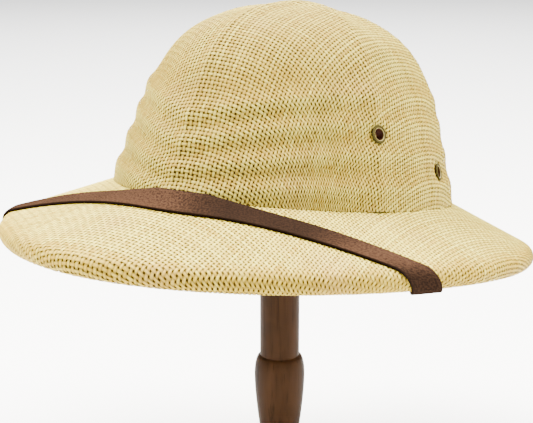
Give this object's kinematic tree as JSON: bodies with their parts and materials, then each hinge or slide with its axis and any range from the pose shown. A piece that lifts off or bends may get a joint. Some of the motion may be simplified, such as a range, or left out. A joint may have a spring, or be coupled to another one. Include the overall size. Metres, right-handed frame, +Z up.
{
  "type": "pith helmet on wooden stand",
  "caption": "Woven straw pith helmet with a brown leather chin strap over its brim, on a turned dark wooden stand.",
  "frame": {"origin": "centre of the stand base's underside, on the floor", "axes": "+Z up along the stand's post, -Y towards the hat's front, +X towards the wearer's left side"},
  "size_m": [0.28, 0.3474, 0.3136],
  "materials": {
    "straw": "open plain weave of cream straw strands, matte",
    "strap_leather": "fine-grained brown leather, satin",
    "aged_brass": "darkened, rubbed bright on the inner lip",
    "dark_wood": "dark stained, satin"
  },
  "bodies": {
    "root": {"crown": "straw", "brim": "straw", "chin_strap": "strap_leather", "eyelet_1": "aged_brass", "eyelet_2": "aged_brass", "eyelet_3": "aged_brass", "eyelet_4": "aged_brass", "stand_post": "dark_wood", "stand_base": "dark_wood", "stand_head": "dark_wood"}
  },
  "joints": []
}
